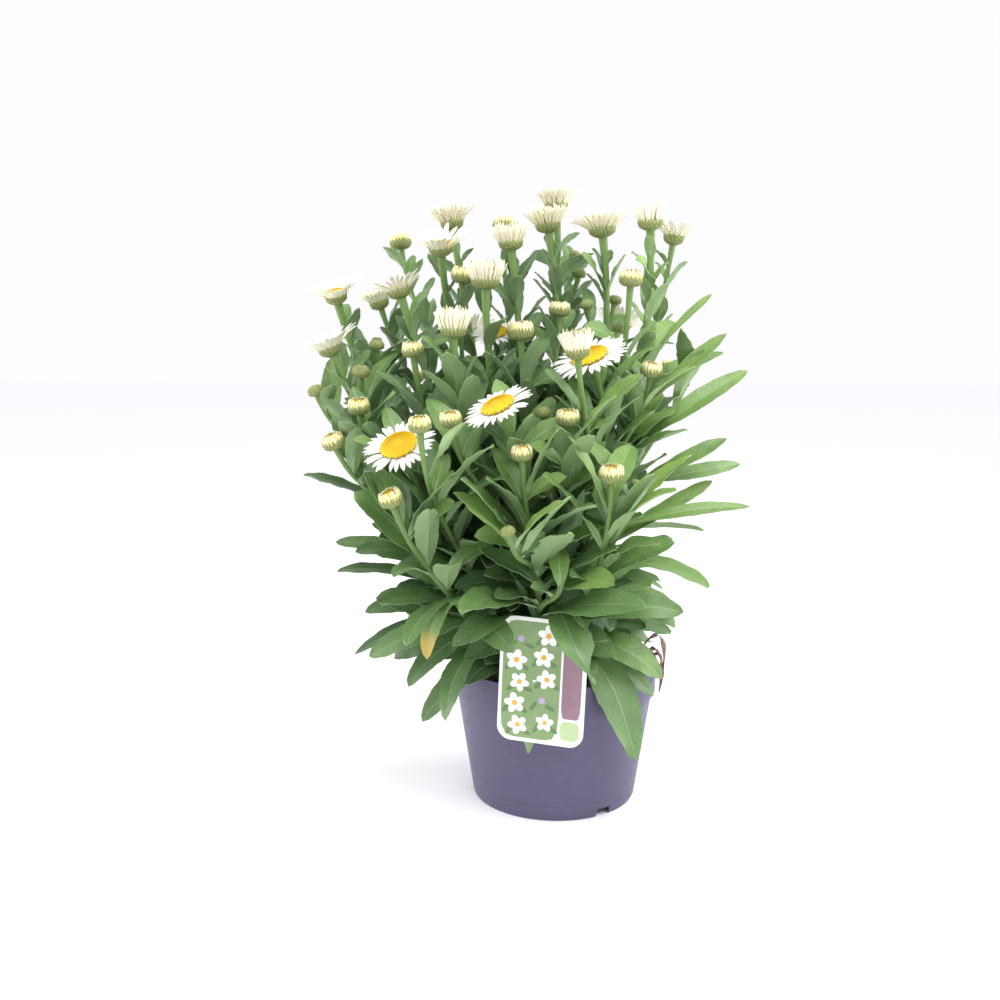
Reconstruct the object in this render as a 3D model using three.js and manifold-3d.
// A shasta daisy in bloom, growing in a round plastic nursery pot with a care label hung on the rim.
// Millimetres, +Z up. The origin is on the pot's axis, on the surface that the pot stands on.
// +X is to the right and -Y is to the front, where the label hangs.
import * as THREE from "three";
import { mergeVertices } from "three/addons/utils/BufferGeometryUtils.js";
import Module from "manifold-3d";

const wasm = await Module();
wasm.setup();

// The pot: outside radii and heights of a 17 cm nursery pot.
const POT_HEIGHT = 115;
const RIM_RADIUS = 85;
const BAND_HEIGHT = 26;
const BAND_TAPER = 1.2;
const BAND_STEP = 2.6;
const FOOT_RADIUS = 67.5;
const FOOT_CHAMFER = 2;
const WALL = 1.8;
const FLOOR_RAISE = 7;
const FLOOR_THICKNESS = 2;
const SEAT_RADIUS = 34;
const SEAT_SLOPE = 4;
const NOTCHES = 3;
const NOTCH_WIDTH = 19;
const NOTCH_AZIMUTH = -54;
const DRAIN_HOLES = 3;
const DRAIN_RADIUS = 4.5;
const DRAIN_CIRCLE = 50;
const POT_SIDES = 28;

// The soil, and what every fitted piece leaves to its neighbour.
const GAP = 0.35;
const SOIL_TOP = 102;
const SOIL_HUMP = 3.5;
const SOIL_LUMP = 1.1;
const ROOT_DEPTH = 26;

// The care label: a thin card in front of the pot, with a tongue that passes over the rim into the soil.
const CARD_WIDTH = 67;
const CARD_HEIGHT = 98;
const CARD_BOTTOM = 74;
const CARD_THICKNESS = 0.8;
const CARD_CORNER = 11;
const CARD_X = -9;
const CARD_Y = -92;
const CARD_YAW = -12;
const CARD_ROLL = 2.5;
const TONGUE_WIDTH = 14;
const TONGUE_INSIDE = -70.5;
const TONGUE_BOTTOM = 68;
const TONGUE_ROOT = 124;

// Stems.
const STEM_SIDES = 5;
const STEM_FOOT = 3.1;
const STEM_TOP = 2.5;
const TWIG_TOP = 1.9;
const STEM_STEPS = 4;
const TWIG_STEPS = 2;

// Flower heads, in the order base to top along the head's own axis.
const CUP_HEIGHT = 7;
const TIGHT_BUD = 7;
const HUB_THICKNESS = 1.2;
const OPEN_RAYS = 16;
const HALF_RAYS = 10;
const DISC_SIDES = 8;
const DISC_HEIGHT = 5.6;
const RAY_THICKNESS = 0.9;

// Leaves.
const BLADE_THICKNESS = 1.3;
const BLADE_FOLD = 0.16;
const ROOT_DEEP = 1.1;
const GOLDEN_ANGLE = 137.5;
const OUTWARD_SHARE = 0.72;
const LEAF_WIDTH_BASE = 3.5;
const LEAF_WIDTH_SHARE = 0.25;
const BUSH_MIDDLE = [-25, 30];

const UP = new THREE.Vector3(0, 0, 1);
const rad = THREE.MathUtils.degToRad;
const lerp = THREE.MathUtils.lerp;
const point = (x, y, z) => new THREE.Vector3(x, y, z);

// A repeatable number from 0 to 1 for three whole numbers.
function draw(a, b, c) {
  const wave = Math.sin(a * 12.9898 + b * 78.233 + c * 37.719) * 43758.5453;
  return wave - Math.floor(wave);
}

// Each shoot stands at foot in the soil. Its first head ends the main stem, and the others end side stems
// that leave the main stem at the share "from" of its length. at is where the head begins, and lean is how
// it tips right and back. open: rays is the bloom's radius. half: rays is the radius and rise the height of
// the tuft. bud: radius alone. A tip carries leaves only.
// Each big leaf is [share along the main stem, tip x, y, z, width, arch].
const SHOOTS = [
  {
    foot: [-29, 19],
    heads: [
      { kind: "half", at: [-88, 60, 466], lean: [-0.15, 0.05], rays: 20, rise: 12, cup: 9.5 },
      { kind: "bud", at: [-136, 90, 452], lean: [-0.15, 0.1], radius: 9, from: 0.45 },
    ],
  },
  {
    foot: [-12, -2],
    heads: [
      { kind: "half", at: [-36, -5, 445], lean: [-0.1, -0.1], rays: 16, rise: 17, cup: 9.5 },
      { kind: "bud", at: [-46, 80, 465], lean: [0, 0.1], radius: 9.3, from: 0.35 },
      { kind: "open", at: [-50, 30, 374], lean: [-0.05, -0.5], rays: 21, disc: 10, from: 0.3 },
    ],
  },
  {
    foot: [-1, 22],
    heads: [
      { kind: "half", at: [-1, 65, 480], lean: [-0.05, 0], rays: 19, rise: 13, cup: 9.5 },
      { kind: "bud", at: [14, 84, 444], lean: [0.2, 0.1], radius: 4.6, from: 0.7 },
    ],
  },
  {
    foot: [-3, 8],
    heads: [
      { kind: "half", at: [-7, 25, 461], lean: [-0.15, -0.05], rays: 21, rise: 14, cup: 10 },
      { kind: "bud", at: [17, 46, 426], lean: [0.2, 0.1], radius: 5.4, from: 0.7 },
    ],
  },
  {
    foot: [11, 3],
    heads: [
      { kind: "half", at: [36, 10, 456], lean: [-0.12, 0.02], rays: 24, rise: 11, cup: 10.5 },
      { kind: "bud", at: [46, 22, 404], lean: [0.2, 0.1], radius: 5, from: 0.72 },
      { kind: "bud", at: [24, -8, 400], lean: [-0.2, -0.2], radius: 5, from: 0.66 },
    ],
  },
  {
    foot: [22, -5],
    heads: [
      { kind: "half", at: [71, -20, 459], lean: [-0.05, -0.05], rays: 13, rise: 16, cup: 9.5 },
      { kind: "open", at: [94, 42, 452], lean: [0.15, 0.05], rays: 22, disc: 9.5, from: 0.4 },
      { kind: "tip", at: [112, 14, 352], lean: [0.5, 0.1], from: 0.35 },
    ],
    leaves: [
      [0.5, 153, 10, 352, 17, 10],
      [0.42, 152, 22, 275, 13, 8],
      [0.58, 134, 0, 382, 15, 6],
      [0.64, 136, 30, 366, 15, 4],
      [0.7, 120, -10, 412, 9, 8],
    ],
  },
  {
    foot: [-30, 3],
    heads: [
      { kind: "open", at: [-93, 12, 442], lean: [-0.05, -0.32], rays: 26, disc: 11 },
      { kind: "bud", at: [-76, 6, 420], lean: [0.1, -0.1], radius: 9, from: 0.62 },
    ],
  },
  {
    foot: [-18, -14],
    heads: [
      { kind: "half", at: [-54, -45, 414], lean: [0, -0.05], rays: 17, rise: 19, cup: 10.5 },
      { kind: "bud", at: [-84, -20, 364], lean: [-0.3, 0.1], radius: 3.6, from: 0.66 },
    ],
  },
  {
    foot: [-40, -5],
    heads: [
      { kind: "open", at: [-122, -14, 408], lean: [-0.3, -0.05], rays: 23, disc: 10.5 },
      { kind: "half", at: [-146, 36, 400], lean: [-0.3, -0.1], rays: 15, rise: 9, cup: 8, from: 0.5 },
    ],
  },
  {
    foot: [-56, 6],
    heads: [
      { kind: "open", at: [-176, 4, 404], lean: [-0.2, -0.3], rays: 24, disc: 10 },
      { kind: "bud", at: [-143, -14, 368], lean: [0.1, -0.2], radius: 5.6, from: 0.6 },
    ],
  },
  {
    foot: [16, -14],
    heads: [
      { kind: "bud", at: [55, -40, 416], lean: [0.05, -0.1], radius: 8.4 },
      { kind: "bud", at: [70, -58, 349], lean: [0.1, -0.15], radius: 7.6, from: 0.5 },
    ],
    leaves: [
      [0.42, 134, -18, 300, 17, 8],
      [0.36, 153, -24, 247, 11, 16],
      [0.3, 128, 12, 262, 15, 10],
      [0.55, 100, -46, 310, 20, 6],
      [0.22, 90, -52, 226, 22, 18],
    ],
  },
  {
    foot: [-25, -27],
    heads: [{ kind: "half", at: [-75, -85, 378], lean: [0, -0.05], rays: 15, rise: 18, cup: 9.5 }],
    leaves: [[0.35, -100, -118, 262, 20, 10]],
  },
  {
    foot: [-9, -18],
    heads: [
      { kind: "bud", at: [-27, -55, 376], lean: [-0.05, -0.05], radius: 9.6 },
      { kind: "bud", at: [2, -25, 394], lean: [0.05, -0.05], radius: 7.4, from: 0.45 },
    ],
    leaves: [
      [0.45, -62, -86, 302, 18, 6],
      [0.3, 18, -88, 240, 20, 14],
    ],
  },
  {
    foot: [-57, -13],
    heads: [
      { kind: "open", at: [-172, -40, 364], lean: [-0.38, -0.12], rays: 26, disc: 10.5 },
      { kind: "bud", at: [-150, -48, 348], lean: [0.1, -0.2], radius: 6.6, from: 0.66 },
      { kind: "bud", at: [-183, -50, 334], lean: [-0.3, -0.2], radius: 5.8, from: 0.6 },
    ],
    leaves: [
      [0.45, -195, -52, 274, 22, 10],
      [0.36, -178, -20, 214, 14, 8],
    ],
  },
  {
    foot: [-35, -21],
    heads: [{ kind: "bud", at: [-106, -70, 364], lean: [-0.1, -0.1], radius: 7.6 }],
    leaves: [[0.3, -132, -84, 232, 20, 12]],
  },
  {
    foot: [7, -24],
    heads: [
      { kind: "open", at: [27, -75, 358], lean: [-0.38, -0.42], rays: 30, disc: 14 },
      { kind: "half", at: [15, -116, 364], lean: [-0.1, -0.1], rays: 13, rise: 15, cup: 8.5, from: 0.5 },
    ],
    leaves: [
      [0.3, 118, -62, 196, 24, 34],
      [0.24, 92, -70, 160, 22, 26],
      [0.4, 50, -96, 270, 20, 4],
    ],
  },
  {
    foot: [-18, -38],
    heads: [
      { kind: "open", at: [-37, -128, 326], lean: [-0.42, -0.42], rays: 26, disc: 12.5 },
      { kind: "bud", at: [-73, -122, 317], lean: [-0.1, -0.15], radius: 7.4, from: 0.5 },
    ],
  },
  {
    foot: [2, -37],
    heads: [
      { kind: "bud", at: [8, -120, 318], lean: [0, -0.15], radius: 7.8 },
      { kind: "bud", at: [-9, -98, 322], lean: [-0.1, -0.1], radius: 5.4, from: 0.55 },
    ],
    leaves: [
      [0.4, 20, -118, 274, 18, -4],
      [0.22, 40, -128, 214, 24, 14],
      [0.36, -52, -112, 284, 22, 6],
    ],
  },
  {
    foot: [-30, -36],
    heads: [
      { kind: "open", at: [-108, -122, 298], lean: [-0.28, -0.7], rays: 27, disc: 14 },
      { kind: "bud", at: [-91, -158, 317], lean: [-0.05, -0.15], radius: 7.3, from: 0.4 },
    ],
    leaves: [
      [0.3, -126, -120, 190, 22, 12],
      [0.22, -72, -140, 150, 22, 20],
    ],
  },
  {
    foot: [-6, -50],
    heads: [
      { kind: "bud", at: [-23, -140, 296], lean: [-0.05, -0.15], radius: 7 },
      { kind: "bud", at: [-31, -162, 248], lean: [-0.2, -0.3], radius: 4.6, from: 0.55 },
      { kind: "tip", at: [6, -140, 216], lean: [0.1, -0.4], from: 0.34 },
    ],
    leaves: [
      [0.36, -62, -168, 196, 25, 16],
      [0.3, 62, -160, 200, 25, 14],
      [0.24, -57, -112, 272, 22, -6],
      [0.14, 25, -142, 136, 30, 30],
      [0.2, -30, -150, 176, 24, 14],
    ],
  },
  {
    foot: [-47, -23],
    heads: [
      { kind: "bud", at: [-146, -75, 322], lean: [-0.1, -0.2], radius: 7.8 },
      { kind: "bud", at: [-161, -92, 298], lean: [-0.35, -0.25], radius: 8, from: 0.6 },
    ],
    leaves: [
      [0.34, -165, -80, 204, 17, 10],
      [0.24, -150, -50, 164, 19, 14],
      [0.2, -156, -66, 134, 14, 18],
    ],
  },
  {
    foot: [-42, -43],
    heads: [{ kind: "bud", at: [-112, -142, 264], lean: [-0.3, -0.25], radius: 7.8 }],
    leaves: [
      [0.34, -139, -96, 142, 22, 16],
      [0.26, -108, -110, 124, 19, 18],
      [0.5, -104, -146, 166, 16, 8],
      [0.16, -80, -116, 100, 20, 24],
      [0.1, -102, -76, 84, 19, 24],
    ],
  },
  {
    foot: [12, -45],
    heads: [
      { kind: "bud", at: [38, -140, 281], lean: [0, -0.15], radius: 8.3 },
      { kind: "bud", at: [56, -112, 275], lean: [0.1, -0.1], radius: 3.4, from: 0.6 },
    ],
    leaves: [
      [0.3, 96, -84, 176, 20, 20],
      [0.2, 82, -82, 124, 24, 22],
      [0.12, 62, -98, 64, 32, 44],
      [0.16, 52, -122, 118, 26, 24],
      [0.09, 78, -62, 98, 20, 24],
    ],
  },
  {
    foot: [-25, 40],
    heads: [
      { kind: "open", at: [-78, 124, 372], lean: [-0.2, 0.4], rays: 26, disc: 12 },
      { kind: "bud", at: [-128, 122, 334], lean: [-0.3, 0.3], radius: 7.6, from: 0.5 },
    ],
    leaves: [
      [0.2, -112, 130, 150, 20, 22],
      [0.14, -60, 138, 118, 22, 26],
      [0.3, -150, 84, 220, 17, 14],
    ],
  },
  {
    foot: [17, 37],
    heads: [
      { kind: "open", at: [54, 116, 380], lean: [0.25, 0.35], rays: 25, disc: 11.5 },
      { kind: "bud", at: [98, 96, 345], lean: [0.3, 0.2], radius: 7.4, from: 0.5 },
      { kind: "bud", at: [6, 148, 338], lean: [0, 0.4], radius: 7.8, from: 0.45 },
    ],
    leaves: [
      [0.2, 98, 98, 150, 20, 22],
      [0.14, 30, 140, 112, 22, 28],
      [0.3, 130, 70, 210, 16, 16],
    ],
  },
];

// A closed mesh from rings of equally many points, first ring to last, with a point that closes each end.
function loft(rings, first, last) {
  const points = [];
  const faces = [];
  rings.forEach((ring) => points.push(...ring));
  const n = rings[0].length;
  for (let i = 0; i + 1 < rings.length; i++)
    for (let j = 0; j < n; j++) {
      const a = i * n + j;
      const b = i * n + ((j + 1) % n);
      faces.push([a, b, b + n], [a, b + n, a + n]);
    }
  const end = (rings.length - 1) * n;
  points.push(first, last);
  for (let j = 0; j < n; j++) {
    const k = (j + 1) % n;
    faces.push([k, j, points.length - 2], [end + j, end + k, points.length - 1]);
  }
  return meshOf(points, faces);
}

// A geometry of the given points and triangles.
function meshOf(points, faces) {
  const geometry = new THREE.BufferGeometry().setFromPoints(points);
  geometry.setIndex(faces.flat());
  return geometry;
}

// A closed geometry as a solid for cutting and joining, turned outside out if its faces pointed in.
function solidOf(geometry) {
  const bare = new THREE.BufferGeometry();
  bare.setAttribute("position", geometry.getAttribute("position"));
  bare.setIndex(geometry.getIndex());
  const merged = mergeVertices(bare, 1e-4);
  const build = (index) =>
    new wasm.Manifold(
      new wasm.Mesh({
        numProp: 3,
        vertProperties: merged.getAttribute("position").array,
        triVerts: new Uint32Array(index),
      }),
    );
  const index = [...merged.getIndex().array];
  const made = build(index);
  return made.volume() >= 0 ? made : build(index.reverse());
}

// A solid as a named mesh of the finished part.
function part(name, solid, material) {
  const { numProp, numVert, vertProperties, triVerts } = solid.getMesh();
  const places = new Float32Array(numVert * 3);
  for (let i = 0; i < numVert; i++) places.set(vertProperties.subarray(i * numProp, i * numProp + 3), i * 3);
  const geometry = new THREE.BufferGeometry();
  geometry.setAttribute("position", new THREE.BufferAttribute(places, 3));
  geometry.setIndex(new THREE.BufferAttribute(new Uint32Array(triVerts), 1));
  geometry.computeVertexNormals();
  const mesh = new THREE.Mesh(geometry, material);
  mesh.name = name;
  return mesh;
}

const joined = (solids) => solids.reduce((whole, next) => whole.add(next));

// The two directions across an axis that is never level with X.
function across(axis) {
  const u = point(1, 0, 0).addScaledVector(axis, -axis.x).normalize();
  return [u, axis.clone().cross(u)];
}

// Points round a centre, in the plane across an axis. bump gives each point's share of the radius and its
// rise.
function ring(centre, axis, radius, sides, turn = 0, bump = () => [1, 0]) {
  const [u, v] = across(axis);
  return Array.from({ length: sides }, (_, j) => {
    const angle = turn + (2 * Math.PI * j) / sides;
    const [share, rise] = bump(j);
    return centre
      .clone()
      .addScaledVector(u, Math.cos(angle) * radius * share)
      .addScaledVector(v, Math.sin(angle) * radius * share)
      .addScaledVector(axis, rise);
  });
}

const axisOf = (head) => point(head.lean[0], head.lean[1], 1).normalize();

// The middle line of a stem, which leaves along startWay and arrives along endWay.
function stemLine(start, startWay, end, endWay) {
  const reach = start.distanceTo(end) * 0.36;
  return new THREE.CubicBezierCurve3(
    start,
    start.clone().addScaledVector(startWay, reach),
    end.clone().addScaledVector(endWay, -reach),
    end,
  );
}

function mainLine(shoot) {
  const start = point(...shoot.foot, SOIL_TOP + SOIL_HUMP + 3);
  const end = point(...shoot.heads[0].at);
  const way = end.clone().sub(start).normalize().lerp(UP, 0.45).normalize();
  return stemLine(start, way, end, axisOf(shoot.heads[0]));
}

function sideLine(main, head) {
  const start = main.getPoint(head.from);
  const end = point(...head.at);
  const way = end.clone().sub(start).normalize().lerp(main.getTangent(head.from), 0.35).normalize();
  return stemLine(start, way, end, axisOf(head));
}

// The rings of a head's green cup, or of a whole bud, above the end of its stem.
function headRings(head, turn) {
  const axis = axisOf(head);
  const at = (height) => point(...head.at).addScaledVector(axis, height);
  if (head.kind === "tip") return { rings: [], top: at(5) };
  if (head.kind === "bud") {
    const r = head.radius;
    const crown = (j) => [[1, 0.84, 0.97, 0.8, 0.9][j], r * [0.12, -0.14, 0.1, -0.1, 0][j]];
    const rings = [
      ring(at(r * 0.25), axis, r * 0.72, STEM_SIDES, turn),
      ring(at(r * 0.85), axis, r * 1.04, STEM_SIDES, turn),
      ring(at(r * 1.5), axis, r * 0.78, STEM_SIDES, turn, crown),
    ];
    return { rings: r < TIGHT_BUD ? rings.slice(0, 2) : rings, top: at(r * 1.5) };
  }
  return {
    rings: [
      ring(at(CUP_HEIGHT * 0.3), axis, head.cup * 0.62, STEM_SIDES, turn),
      ring(at(CUP_HEIGHT), axis, head.cup, STEM_SIDES, turn),
    ],
    top: at(CUP_HEIGHT),
  };
}

// A stem with its head on top, as one tapering tube. Its sections are level and alike, so its sides are flat.
function stemSolid(line, head, thick, thin, steps, turn, rooted) {
  const rings = [];
  const start = line.getPoint(0);
  const foot = rooted ? point(start.x, start.y, SOIL_TOP - ROOT_DEPTH) : start;
  if (rooted) rings.push(ring(foot, UP, thick, STEM_SIDES, turn), ring(start, UP, thick, STEM_SIDES, turn));
  for (let i = rooted ? 1 : 0; i <= steps; i++)
    rings.push(ring(line.getPoint(i / steps), UP, lerp(thick, thin, i / steps), STEM_SIDES, turn));
  const { rings: cap, top } = headRings(head, turn);
  return solidOf(loft([...rings, ...cap], foot, top));
}

// How far a shoot's stems are turned, and the nearest way out of one of their flat sides.
const turnOf = (shoot) => ((2 * Math.PI) / STEM_SIDES) * draw(shoot, 0, 9);
const faceWay = (shoot, wanted) => {
  const first = turnOf(shoot) + Math.PI / STEM_SIDES;
  const side = (2 * Math.PI) / STEM_SIDES;
  return first + side * Math.round((wanted - first) / side);
};

// A leaf's plan: the share of its full width at each station along it, with the notches of its toothed edge.
const LEAF_FORMS = {
  large: { stations: [0.28, 0.5, 0.56, 0.74, 0.8], widths: [0.5, 1, 0.84, 0.98, 0.72] },
  middle: { stations: [0.42, 0.64, 0.7], widths: [0.86, 1, 0.76] },
  small: { stations: [0.5, 0.6], widths: [1, 0.76] },
};

// Two triangles over four corners, split on the diagonal that stands out, so that the faces of a twisted
// blade don't cross.
function panel(points, a, b, c, d) {
  const [p, q, r, s] = [a, b, c, d].map((i) => points[i]);
  const bulge = q.clone().sub(p).cross(r.clone().sub(p)).dot(s.clone().sub(p));
  if (bulge > 0) return [[a, b, d], [b, c, d]];
  return [[a, b, c], [a, c, d]];
}

// A blade along a leaf's middle line, flat on top and keeled below, with a slim root and a pointed tip.
function bladeSolid(leaf, extra = 0) {
  const { stations, widths } = LEAF_FORMS[leaf.form];
  const points = [];
  const root = leafFrame(leaf, 0);
  points.push(root.centre.clone().addScaledVector(root.face, extra));
  points.push(root.centre.clone().addScaledVector(root.face, -ROOT_DEEP - extra));
  stations.forEach((t, i) => {
    const { centre, side, face } = leafFrame(leaf, t);
    const half = (leaf.width / 2) * widths[i] + extra;
    const lift = half * BLADE_FOLD + extra;
    const keel = BLADE_THICKNESS * lerp(1, 0.7, t) + extra - half * BLADE_FOLD;
    points.push(centre.clone().addScaledVector(side, half).addScaledVector(face, lift));
    points.push(centre.clone().addScaledVector(side, -half).addScaledVector(face, lift));
    points.push(centre.clone().addScaledVector(face, -keel));
  });
  const end = leafFrame(leaf, 1);
  const tip = points.push(end.centre.addScaledVector(end.along, 2 * extra)) - 1;
  const faces = [[0, 3, 2], ...panel(points, 0, 1, 4, 3), ...panel(points, 1, 0, 2, 4)];
  for (let a = 2; a + 5 < tip; a += 3) {
    const [b, k] = [a + 1, a + 2];
    [[a, b], [b, k], [k, a]].forEach(([i, j]) => faces.push(...panel(points, i, j, j + 3, i + 3)));
  }
  faces.push([tip - 3, tip - 2, tip], [tip - 2, tip - 1, tip], [tip - 1, tip - 3, tip]);
  return solidOf(meshOf(points, faces));
}

// Where a leaf's middle is at the share t of its length, and its directions across and up.
function leafFrame(leaf, t) {
  const s = 1 - t;
  const centre = leaf.root
    .clone()
    .multiplyScalar(s * s)
    .addScaledVector(leaf.bend, 2 * s * t)
    .addScaledVector(leaf.tip, t * t);
  const along = leaf.bend
    .clone()
    .sub(leaf.root)
    .multiplyScalar(s)
    .addScaledVector(leaf.tip.clone().sub(leaf.bend), t)
    .normalize();
  const level = point(-along.y, along.x, 0).normalize();
  const straight = along.clone().cross(level);
  const turn = leaf.roll * level.dot(leaf.outward) * Math.min(1, 2 * t);
  const side = level.clone().multiplyScalar(Math.cos(turn)).addScaledVector(straight, Math.sin(turn));
  const face = straight.multiplyScalar(Math.cos(turn)).addScaledVector(level, -Math.sin(turn));
  return { centre, along, side, face };
}

// A leaf that doesn't point straight out of the bush rolls, so that its upper face looks outward.
function facing(root, chance) {
  const outward = point(root.x - BUSH_MIDDLE[0], root.y - BUSH_MIDDLE[1], 0).normalize();
  return { outward, roll: -rad(lerp(30, 70, chance)) };
}

// A big leaf from the list, in one of its tries. Each try lifts, drops or shortens it a little more.
const BIG_TRIES = 12;
function bigLeaf(line, shoot, index, [share, x, y, z, width, arch], attempt) {
  const root = line.getPoint(share);
  const step = Math.ceil(attempt / 2) * (attempt % 2 ? 1 : -1);
  const tip = point(x, y, z + 5 * step);
  const azimuth = faceWay(shoot, Math.atan2(tip.y - root.y, tip.x - root.x));
  const reach = Math.hypot(tip.x - root.x, tip.y - root.y) * 0.5;
  const rise = (tip.z - root.z) * 0.5 + arch + 2 * step;
  const bend = root.clone().add(point(Math.cos(azimuth) * reach, Math.sin(azimuth) * reach, rise));
  return {
    root,
    bend,
    tip,
    width,
    ...facing(root, draw(shoot, index, 1)),
    form: "large",
  };
}

// A leaf that the stem's own rule places: the higher it grows, the smaller and steeper it is.
const STEM_TRIES = 9;
function stemLeaf(line, shoot, stem, index, share, size, attempt) {
  const root = line.getPoint(share);
  const length = size * lerp(1.02, 0.42, share) * (0.85 + 0.3 * draw(shoot, stem * 40 + index, 2));
  const shorter = length * (1 - 0.05 * attempt);
  const swing = 26 * Math.ceil(attempt / 2) * (attempt % 2 ? 1 : -1);
  const outwards = Math.atan2(root.y - BUSH_MIDDLE[1], root.x - BUSH_MIDDLE[0]);
  const turned = (GOLDEN_ANGLE * index + 360 * draw(shoot, stem, 3)) % 360;
  const wanted = outwards + rad((turned - 180) * OUTWARD_SHARE + swing);
  const azimuth = faceWay(shoot, wanted);
  const rise = rad(lerp(30, 62, share) + 24 * (draw(shoot, stem * 40 + index, 4) - 0.5));
  const fall = rise - rad(lerp(48, 30, share) + 24 * draw(shoot, stem * 40 + index, 5));
  const way = (heading, angle) =>
    point(Math.cos(heading) * Math.cos(angle), Math.sin(heading) * Math.cos(angle), Math.sin(angle));
  const bend = root.clone().addScaledVector(way(azimuth, rise), shorter / 2);
  return {
    root,
    bend,
    tip: bend.clone().addScaledVector(way(wanted, fall), shorter / 2),
    width: LEAF_WIDTH_BASE + shorter * LEAF_WIDTH_SHARE,
    ...facing(root, draw(shoot, stem * 40 + index, 6)),
    form: shorter > 44 ? "middle" : "small",
  };
}

// The white or cream rays of a head, as one star of pointed blades round a hub that the cup carries.
function raysSolid(head, seed) {
  const axis = axisOf(head);
  const [u, v] = across(axis);
  const open = head.kind === "open";
  const count = open ? OPEN_RAYS : HALF_RAYS;
  const hub = open ? head.disc : head.cup * 0.92;
  const base = CUP_HEIGHT + GAP + HUB_THICKNESS;
  const place = (angle, radius, height) =>
    point(...head.at)
      .addScaledVector(u, Math.cos(angle) * radius)
      .addScaledVector(v, Math.sin(angle) * radius)
      .addScaledVector(axis, base + height);
  const points = [];
  const faces = [];
  const tau = 2 * Math.PI;
  for (let i = 0; i < count; i++) {
    const left = (tau * i) / count;
    const middle = (tau * (i + 0.5)) / count;
    const jog = draw(seed, i, 7) - 0.5;
    const reach = (head.rays - hub) * (open ? 1 + 0.16 * jog : 1);
    const rise = open ? 2.2 * jog : head.rise * (1 + 0.2 * jog);
    const midReach = open ? hub + reach * 0.55 : lerp(hub, hub + reach, 0.42);
    const midRise = open ? 0.8 + rise * 0.4 : rise * 0.56;
    const half = Math.min((Math.PI * midReach) / count - 0.35, open ? 2.6 : 2.9);
    const slope = Math.atan2(midRise, midReach - hub);
    const spread = (radius, width) => [middle - width / radius, middle + width / radius];
    const [midLeft, midRight] = spread(midReach, half);
    const [tipLeft, tipRight] = spread(hub + reach, half * 0.62);
    points.push(place(left, hub, 0));
    points.push(place(left, hub, -HUB_THICKNESS));
    points.push(place(midLeft, midReach, midRise), place(midRight, midReach, midRise));
    points.push(
      place(middle, midReach + RAY_THICKNESS * Math.sin(slope), midRise - RAY_THICKNESS * Math.cos(slope)),
    );
    points.push(place(tipLeft, hub + reach, rise), place(tipRight, hub + reach, rise));
  }
  const each = 7;
  const top = points.push(place(0, 0, open ? 0 : head.rise * 0.6)) - 1;
  const under = points.push(place(0, 0, -HUB_THICKNESS)) - 1;
  for (let i = 0; i < count; i++) {
    const o = each * i;
    const n = each * ((i + 1) % count);
    const [a, lowA, l, r, k, tl, tr] = [o, o + 1, o + 2, o + 3, o + 4, o + 5, o + 6];
    const [b, lowB] = [n, n + 1];
    faces.push([a, l, b], [b, l, r], [l, tl, r], [r, tl, tr]);
    faces.push([lowA, lowB, k], [lowA, k, a], [a, k, l], [lowB, b, k], [b, r, k]);
    faces.push([k, tr, tl], [k, tl, l], [k, r, tr], [under, lowB, lowA], [top, a, b]);
  }
  return solidOf(meshOf(points, faces));
}

// The yellow disc of an open bloom: a low dome with a rough face and a dimple.
function discSolid(head) {
  const axis = axisOf(head);
  const base = CUP_HEIGHT + 2 * GAP + HUB_THICKNESS;
  const at = (height) => point(...head.at).addScaledVector(axis, base + height);
  const rough = (odd) => (j) => [(j + odd) % 2 ? 1 : 0.93, (j + odd) % 2 ? 0 : 0.5];
  return solidOf(
    loft(
      [
        ring(at(0), axis, head.disc * 0.94, DISC_SIDES),
        ring(at(DISC_HEIGHT * 0.42), axis, head.disc, DISC_SIDES, 0, rough(0)),
        ring(at(DISC_HEIGHT * 0.86), axis, head.disc * 0.56, DISC_SIDES, 0, rough(1)),
      ],
      at(0),
      at(DISC_HEIGHT * 0.84),
    ),
  );
}

function latheSolid(profile, sides) {
  const outline = profile.map(([r, z]) => new THREE.Vector2(r, z));
  return solidOf(new THREE.LatheGeometry(outline, sides).rotateX(Math.PI / 2));
}

// A cylinder from z = low to z = high, standing at x, y.
function post(radius, x, y, low, high, sides) {
  const geometry = new THREE.CylinderGeometry(radius, radius, high - low, sides);
  return solidOf(geometry.rotateX(Math.PI / 2).translate(x, y, (low + high) / 2));
}

// The outside radius of the pot's wall below its band, at a height.
function wallRadius(z) {
  const top = RIM_RADIUS - BAND_TAPER - BAND_STEP;
  return lerp(FOOT_RADIUS, top, z / (POT_HEIGHT - BAND_HEIGHT));
}

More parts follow.
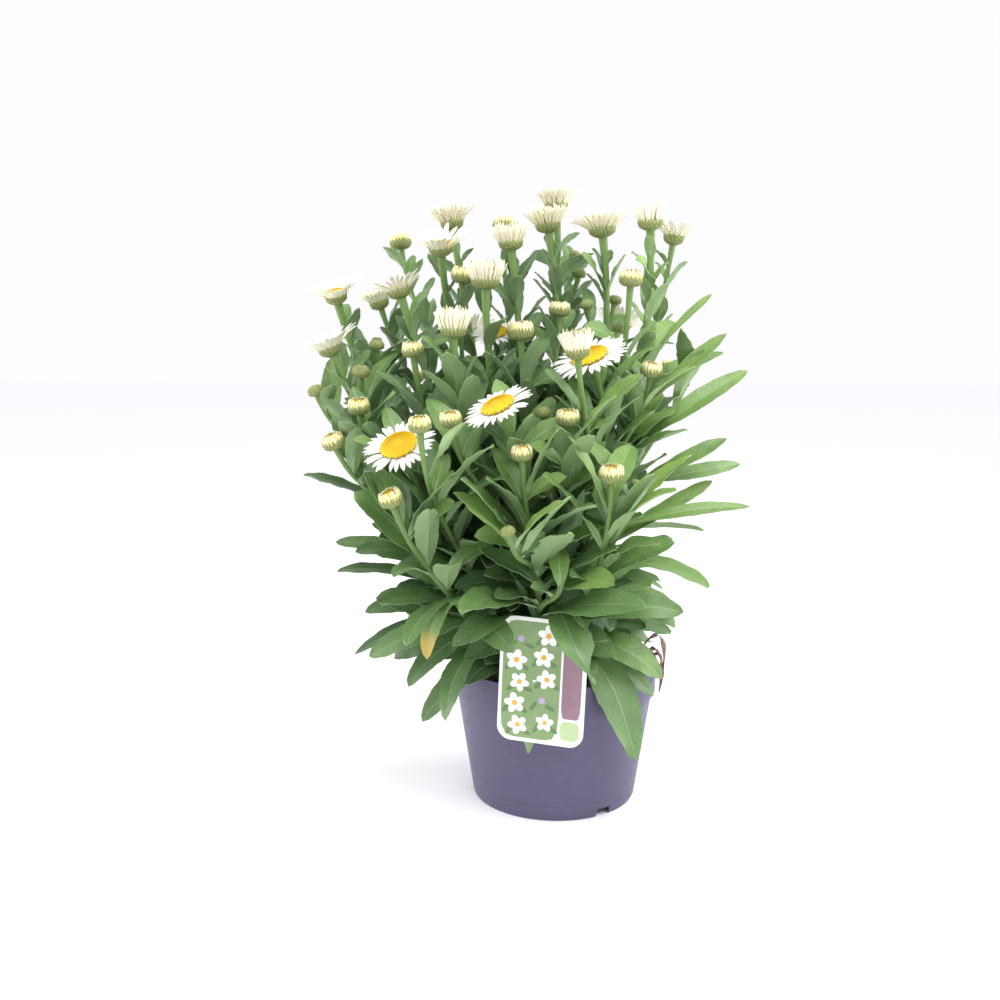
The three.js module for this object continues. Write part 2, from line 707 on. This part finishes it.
// The pot stands on its foot ring and on a seat in the middle. Between them the floor is raised, and drains.
function potSolid() {
  const bandFoot = POT_HEIGHT - BAND_HEIGHT;
  const floor = FLOOR_RAISE + FLOOR_THICKNESS;
  const inside = FOOT_RADIUS - WALL;
  let pot = latheSolid(
    [
      [0, 0],
      [SEAT_RADIUS, 0],
      [SEAT_RADIUS + SEAT_SLOPE, FLOOR_RAISE],
      [inside, FLOOR_RAISE],
      [inside, 0],
      [FOOT_RADIUS - FOOT_CHAMFER * 0.3, 0],
      [wallRadius(FOOT_CHAMFER), FOOT_CHAMFER],
      [wallRadius(bandFoot), bandFoot],
      [RIM_RADIUS - BAND_TAPER, bandFoot + 0.8],
      [RIM_RADIUS, POT_HEIGHT],
      [RIM_RADIUS - WALL, POT_HEIGHT],
      [RIM_RADIUS - BAND_TAPER - BAND_STEP - WALL, bandFoot + 1.5],
      [wallRadius(floor) - WALL, floor],
      [SEAT_RADIUS + SEAT_SLOPE - FLOOR_THICKNESS, floor],
      [SEAT_RADIUS - FLOOR_THICKNESS, FLOOR_THICKNESS],
      [0, FLOOR_THICKNESS],
    ],
    POT_SIDES,
  );
  for (let i = 0; i < NOTCHES; i++) {
    const azimuth = rad(NOTCH_AZIMUTH + (360 / NOTCHES) * i);
    const outline = new THREE.Shape();
    outline.moveTo(-NOTCH_WIDTH / 2, -1);
    outline.lineTo(NOTCH_WIDTH / 2, -1);
    outline.lineTo(NOTCH_WIDTH / 2 - 3, FLOOR_RAISE - 0.5);
    outline.lineTo(-NOTCH_WIDTH / 2 + 3, FLOOR_RAISE - 0.5);
    const cut = new THREE.ExtrudeGeometry(outline, { depth: 12, bevelEnabled: false });
    cut
      .rotateX(Math.PI / 2)
      .translate(0, -FOOT_RADIUS + 7, 0)
      .rotateZ(azimuth + Math.PI / 2);
    pot = pot.subtract(solidOf(cut));
  }
  for (let i = 0; i < DRAIN_HOLES; i++) {
    const azimuth = rad(NOTCH_AZIMUTH + 30 + (360 / DRAIN_HOLES) * i);
    const [x, y] = [Math.cos(azimuth) * DRAIN_CIRCLE, Math.sin(azimuth) * DRAIN_CIRCLE];
    pot = pot.subtract(post(DRAIN_RADIUS, x, y, FLOOR_RAISE - 1, floor + 1, 6));
  }
  return pot;
}

// The soil fills the pot to below its rim. Its top is humped and lumpy, and each stem stands in its own hole.
function soilSolid(tongue) {
  const floor = FLOOR_RAISE + FLOOR_THICKNESS + GAP;
  const bandFoot = POT_HEIGHT - BAND_HEIGHT;
  const widest = (z) => {
    const top = RIM_RADIUS - BAND_TAPER - BAND_STEP - WALL;
    const low = bandFoot + 1.5;
    if (z <= low) return lerp(wallRadius(floor) - WALL, top, (z - floor) / (low - floor));
    return lerp(top, RIM_RADIUS - WALL, (z - low) / (POT_HEIGHT - low));
  };
  const seatFloor = FLOOR_THICKNESS + GAP;
  const level = (radius, z, lump) =>
    Array.from({ length: POT_SIDES }, (_, j) => {
      const angle = (2 * Math.PI * j) / POT_SIDES;
      const rise = lump ? SOIL_LUMP * (2 * draw(j, radius, 8) - 1) : 0;
      return point(Math.sin(angle) * radius, -Math.cos(angle) * radius, z + rise);
    });
  const edge = SOIL_TOP - 1;
  const body = loft(
    [
      level(SEAT_RADIUS - FLOOR_THICKNESS - GAP, seatFloor),
      level(SEAT_RADIUS + SEAT_SLOPE - FLOOR_THICKNESS - GAP, floor),
      level(widest(floor) - GAP, floor),
      level(widest(bandFoot + 1.5) - GAP, bandFoot + 1.5),
      level(widest(edge) - GAP, edge),
      level(58, SOIL_TOP, true),
      level(28, SOIL_TOP + SOIL_HUMP * 0.6, true),
    ],
    point(0, 0, seatFloor),
    point(0, 0, SOIL_TOP + SOIL_HUMP * 0.8),
  );
  let soil = solidOf(body);
  SHOOTS.forEach(({ foot }, index) => {
    const radius = STEM_FOOT + GAP / Math.cos(Math.PI / STEM_SIDES);
    const low = point(...foot, SOIL_TOP - ROOT_DEPTH - GAP);
    const high = point(...foot, POT_HEIGHT);
    const walls = [low, high].map((end) => ring(end, UP, radius, STEM_SIDES, turnOf(index)));
    soil = soil.subtract(solidOf(loft(walls, low, high)));
  });
  return soil.subtract(tongue);
}

// The strip that holds the label: out of the card's back, over the rim, and down into the soil.
function tongueSolid(extra) {
  const t = CARD_THICKNESS / 2 + extra;
  const top = POT_HEIGHT + GAP + CARD_THICKNESS / 2;
  const shape = new THREE.Shape();
  const line = [
    [CARD_Y + 0.6, TONGUE_ROOT],
    [CARD_Y + 4, top],
    [TONGUE_INSIDE - 1, top],
    [TONGUE_INSIDE, top - 1],
    [TONGUE_INSIDE, TONGUE_BOTTOM - extra],
  ];
  const normal = [
    [0.45, 0.9],
    [0.3, 1],
    [0.25, 1],
    [1, 0.25],
    [1, 0],
  ];
  line.forEach(([y, z], i) => {
    const at = [y + normal[i][0] * t, z + normal[i][1] * t];
    if (i) shape.lineTo(...at);
    else shape.moveTo(...at);
  });
  [...line.keys()].reverse().forEach((i) => {
    shape.lineTo(line[i][0] - normal[i][0] * t, line[i][1] - normal[i][1] * t);
  });
  const wide = TONGUE_WIDTH + 2 * extra;
  const strip = new THREE.ExtrudeGeometry(shape, { depth: wide, bevelEnabled: false });
  // The shape is drawn in Y and Z, so its own X, Y and depth turn to Y, Z and X.
  strip.applyMatrix4(new THREE.Matrix4().makeBasis(point(0, 1, 0), point(0, 0, 1), point(1, 0, 0)));
  return solidOf(strip.translate(CARD_X - wide / 2, 0, 0));
}

function labelSolid() {
  const [w, h, r] = [CARD_WIDTH / 2, CARD_HEIGHT / 2, CARD_CORNER];
  const card = new THREE.Shape();
  card.absarc(w - r, h - r, r, 0, Math.PI / 2);
  card.absarc(-w + r, h - r, r, Math.PI / 2, Math.PI);
  card.absarc(-w + r, -h + r, r, Math.PI, Math.PI * 1.5);
  card.absarc(w - r, -h + r, r, Math.PI * 1.5, Math.PI * 2);
  const settings = { depth: CARD_THICKNESS, bevelEnabled: false, curveSegments: 3 };
  const flat = new THREE.ExtrudeGeometry(card, settings);
  flat
    .translate(0, 0, -CARD_THICKNESS / 2)
    .rotateX(Math.PI / 2)
    .rotateY(rad(CARD_ROLL))
    .rotateZ(rad(CARD_YAW))
    .translate(CARD_X, CARD_Y, CARD_BOTTOM + h);
  return solidOf(flat).add(tongueSolid(0));
}

const boxOf = (solid) => {
  const { min, max } = solid.boundingBox();
  return new THREE.Box3(point(...min), point(...max));
};

// What stands already, so that each new leaf can be bent clear of it. owner is the piece that a solid
// belongs to, and stem tells the stems of one shoot apart.
const standing = [];
function stand(owner, solid, stem = -1) {
  standing.push({ owner, stem, solid, box: boxOf(solid) });
  return solid;
}

// A blade keeps the gap to other pieces, and crosses nothing of its own shoot but its own stem.
function isClear(owner, stem, blade, wide) {
  const box = boxOf(wide);
  return standing.every((other) => {
    if (!box.intersectsBox(other.box)) return true;
    if (other.owner === owner && other.stem === stem) return true;
    if (other.owner !== owner && !wide.intersect(other.solid).isEmpty()) return false;
    return blade.intersect(other.solid).isEmpty();
  });
}

// Grows a leaf on a shoot: the first try that is clear, and that closes no loop with its stem.
function grow(shoot, stem, tries, leafAt) {
  for (let attempt = 0; attempt < tries; attempt++) {
    const leaf = leafAt(attempt);
    const blade = bladeSolid(leaf);
    if (!isClear(shoot.owner, stem, blade, bladeSolid(leaf, GAP))) continue;
    const whole = shoot.whole.add(blade);
    if (whole.genus() !== 0 || whole.decompose().length !== 1) continue;
    shoot.whole = whole;
    stand(shoot.owner, blade);
    return leaf;
  }
  return null;
}

const finish = (color, roughness) => new THREE.MeshStandardMaterial({ color, roughness, metalness: 0 });
const plastic = finish("#6f6a8c", 0.45);
const card = finish("#f2efe9", 0.35);
const peat = finish("#2c211b", 0.95);
const green = finish("#4d7a3a", 0.55);
const white = finish("#f7f5ef", 0.6);
const cream = finish("#f3eecb", 0.6);
const yellow = finish("#edb51c", 0.7);

const pot = stand("pot", potSolid());
const label = stand("label", labelSolid());
const soil = stand("soil", soilSolid(tongueSolid(GAP)));

const shoots = SHOOTS.map(({ foot, heads, leaves = [] }, index) => {
  const shoot = { index, owner: `shoot_${index}`, heads, leaves };
  const main = mainLine({ foot, heads });
  shoot.lines = [main, ...heads.slice(1).map((head) => sideLine(main, head))];
  const stems = heads.map((head, i) => {
    const cup = head.kind === "open" ? { ...head, cup: head.disc * 0.86 } : head;
    const thin = head.kind === "bud" ? TWIG_TOP : STEM_TOP;
    if (i === 0) return stemSolid(main, cup, STEM_FOOT, thin, STEM_STEPS, turnOf(index), true);
    return stemSolid(shoot.lines[i], cup, thin, TWIG_TOP, TWIG_STEPS, turnOf(index), false);
  });
  stems.forEach((solid, i) => stand(shoot.owner, solid, i));
  shoot.whole = joined(stems);
  return shoot;
});

// Blooms, each on its own cup: the rays, and on an open bloom the disc above them.
const blooms = [];
shoots.forEach(({ heads, index }) =>
  heads.forEach((head, i) => {
    if (head.kind !== "open" && head.kind !== "half") return;
    const seed = index * 10 + i;
    const number = String(blooms.filter((bloom) => bloom.kind === head.kind).length + 1).padStart(2, "0");
    const rays = stand(`rays_${seed}`, raysSolid(head, seed));
    const disc = head.kind === "open" ? stand(`disc_${seed}`, discSolid(head)) : null;
    blooms.push({ kind: head.kind, number, rays, disc });
  }),
);

// The listed big leaves grow first, then the leaves of every stem, from the lowest up.
shoots.forEach((shoot) =>
  shoot.leaves.forEach((entry, i) =>
    grow(shoot, 0, BIG_TRIES, (attempt) => bigLeaf(shoot.lines[0], shoot.index, i, entry, attempt)),
  ),
);
const MAIN_SHARES = [0.14, 0.3, 0.46, 0.66, 0.86];
const TALL_SHARES = [0.12, 0.3, 0.44, 0.58, 0.71, 0.88];
const TALL_STEM = 340;
const TWIG_SHARES = [0.6];
const MAIN_LEAF = 88;
const TWIG_LEAF = 42;
shoots.forEach((shoot) =>
  shoot.lines.forEach((line, stem) => {
    const main = line.getPoint(1).z - line.getPoint(0).z > TALL_STEM ? TALL_SHARES : MAIN_SHARES;
    const shares = stem ? TWIG_SHARES : main;
    const size = stem ? TWIG_LEAF : MAIN_LEAF;
    shares.forEach((share, i) =>
      grow(shoot, stem, STEM_TRIES, (attempt) => stemLeaf(line, shoot.index, stem, i, share, size, attempt)),
    );
  }),
);

// Last, the shoots with no listed leaves thicken the middle of the bush, where their stems are still bare.
const FILL_SHARE = 0.37;
const FILL_NUMBER = 8;
shoots
  .filter((shoot) => !shoot.leaves.length)
  .forEach((shoot) =>
    grow(shoot, 0, STEM_TRIES, (attempt) =>
      stemLeaf(shoot.lines[0], shoot.index, 0, FILL_NUMBER, FILL_SHARE, MAIN_LEAF, attempt),
    ),
  );

const plant = new THREE.Group();
plant.add(part("pot", pot, plastic), part("soil", soil, peat), part("care_label", label, card));
shoots.forEach(({ index, whole }) =>
  plant.add(part(`leafy_shoot_${String(index + 1).padStart(2, "0")}`, whole, green)),
);
blooms.forEach(({ kind, number, rays, disc }) => {
  plant.add(part(`${kind}_bloom_${number}_rays`, rays, kind === "open" ? white : cream));
  if (disc) plant.add(part(`open_bloom_${number}_disc`, disc, yellow));
});

export default plant;
